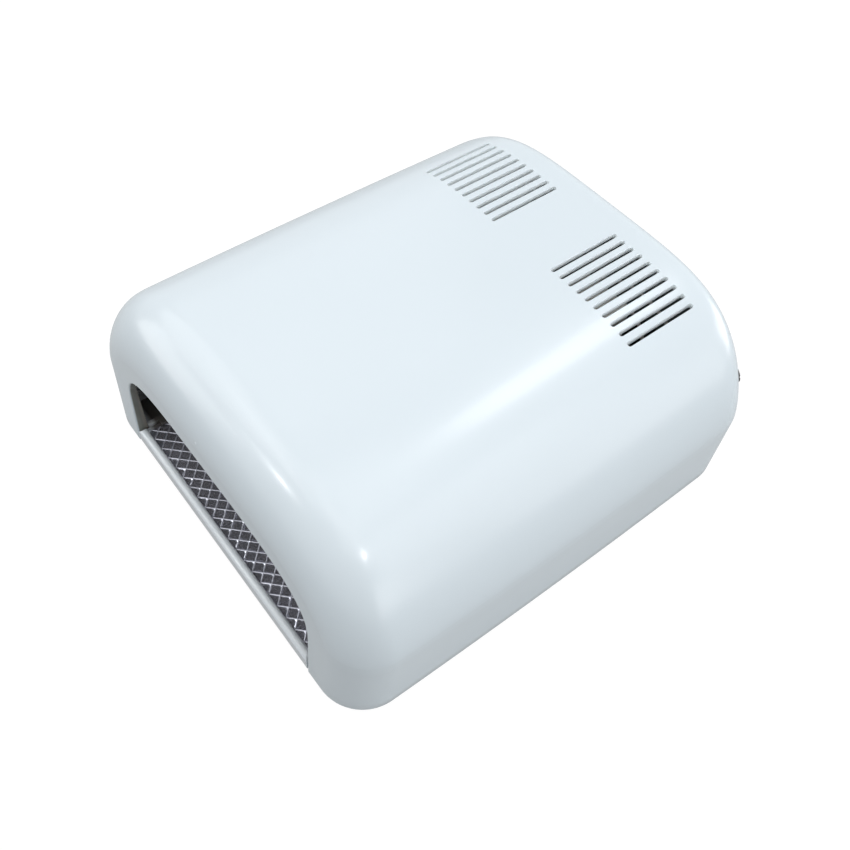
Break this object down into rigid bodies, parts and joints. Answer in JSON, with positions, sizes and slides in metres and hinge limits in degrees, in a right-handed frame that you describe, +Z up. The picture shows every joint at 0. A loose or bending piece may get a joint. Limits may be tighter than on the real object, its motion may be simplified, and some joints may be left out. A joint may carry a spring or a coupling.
{
  "type": "uv nail lamp",
  "caption": "Table-top ultraviolet nail curing lamp with an arched opening, roof vents and a slide-out tray.",
  "frame": {"origin": "on the surface under the middle of the lamp's bounding box", "axes": "+Z up, the arched opening faces -Y, +X to the right as seen from the opening"},
  "size_m": [0.215, 0.2406, 0.0978],
  "materials": {
    "shell_white": "cool white, high gloss",
    "base_white": "white, satin moulding",
    "foot_rubber": "black, matte",
    "zinc": "zinc plated",
    "bright_sheet": "bright rolled sheet",
    "embossed_sheet": "mirror bright, embossed with a diagonal grid",
    "tube_glass": "milky, faint violet",
    "holder_white": "warm white, matte",
    "pin_brass": "turned",
    "spring_steel": "bright spring steel",
    "core_iron": "varnished laminations",
    "winding": "enamelled wire under brown tape",
    "board_green": "solder mask",
    "relay_blue": "moulded",
    "part_black": "moulded",
    "terminal_green": "moulded",
    "control_black": "black, satin gloss",
    "button_green": "translucent green",
    "wire_white": "soft insulation"
  },
  "bodies": {
    "lamp_body": {"upper_housing": "shell_white", "base_frame": "base_white", "rubber_feet": "foot_rubber", "housing_screws": "zinc", "reflector_arch": "bright_sheet", "socket_plate": "bright_sheet", "chassis_screws": "zinc", "lampholder_top_left": "holder_white", "lampholder_top_right": "holder_white", "lampholder_side_left": "holder_white", "lampholder_side_right": "holder_white", "tube_clip_top_left": "spring_steel", "tube_clip_top_right": "spring_steel", "tube_clip_side_left": "spring_steel", "tube_clip_side_right": "spring_steel", "clip_rivets": "zinc", "choke_cores": "core_iron", "choke_windings": "winding", "choke_brackets": "zinc", "choke_screws": "zinc", "timer_board": "board_green", "board_spacers": "holder_white", "board_screws": "zinc", "relay": "relay_blue", "capacitors": "part_black", "timer_chip": "part_black", "board_transformer": "winding", "terminal_block": "terminal_green", "rocker_housing": "control_black", "start_button_housing": "zinc", "start_button_spring": "spring_steel", "start_button_nut": "zinc", "fuse_holder": "control_black", "fuse_nut": "control_black", "cord_gland": "control_black", "gland_nut": "control_black", "spade_connectors": "wire_white", "control_wires": "wire_white", "choke_wires": "wire_white", "lamp_wires": "wire_white"},
    "tray": {"tray": "shell_white", "tray_reflector": "embossed_sheet"},
    "rocker": {"rocker_paddle": "control_black"},
    "start_button": {"start_button_cap": "button_green"},
    "fuse_carrier": {"fuse_cap": "control_black", "fuse_link": "zinc"},
    "lamp_top_left": {"tube_top_left": "tube_glass", "tube_base_top_left": "holder_white", "tube_pins_top_left": "pin_brass"},
    "lamp_top_right": {"tube_top_right": "tube_glass", "tube_base_top_right": "holder_white", "tube_pins_top_right": "pin_brass"},
    "lamp_side_left": {"tube_side_left": "tube_glass", "tube_base_side_left": "holder_white", "tube_pins_side_left": "pin_brass"},
    "lamp_side_right": {"tube_side_right": "tube_glass", "tube_base_side_right": "holder_white", "tube_pins_side_right": "pin_brass"}
  },
  "joints": [
    {"name": "tray_slide", "type": "slide", "parent": "lamp_body", "child": "tray", "axis": [0, -1, 0], "range_m": [0, 0.15]},
    {"name": "rocker_tilt", "type": "hinge", "parent": "lamp_body", "child": "rocker", "pos_m": [0.04, 0.1051, 0.0395], "axis": [1, 0, 0], "range_deg": [-10, 10]},
    {"name": "start_press", "type": "slide", "parent": "lamp_body", "child": "start_button", "axis": [0, -1, 0], "range_m": [0, 0.003], "stiffness_N_per_m": 500, "springref_m": -0.001, "deforming": ["start_button_spring"]},
    {"name": "fuse_cap_turn", "type": "hinge", "parent": "lamp_body", "child": "fuse_carrier", "pos_m": [0.0825, 0.1053, 0.0395], "axis": [0, 1, 0], "range_deg": [0, 90]},
    {"name": "lamp_pull_top_left", "type": "slide", "parent": "lamp_body", "child": "lamp_top_left", "axis": [0, -1, 0], "range_m": [0, 0.021]},
    {"name": "lamp_pull_top_right", "type": "slide", "parent": "lamp_body", "child": "lamp_top_right", "axis": [0, -1, 0], "range_m": [0, 0.021]},
    {"name": "lamp_pull_side_left", "type": "slide", "parent": "lamp_body", "child": "lamp_side_left", "axis": [0, -1, 0], "range_m": [0, 0.021]},
    {"name": "lamp_pull_side_right", "type": "slide", "parent": "lamp_body", "child": "lamp_side_right", "axis": [0, -1, 0], "range_m": [0, 0.021]}
  ]
}
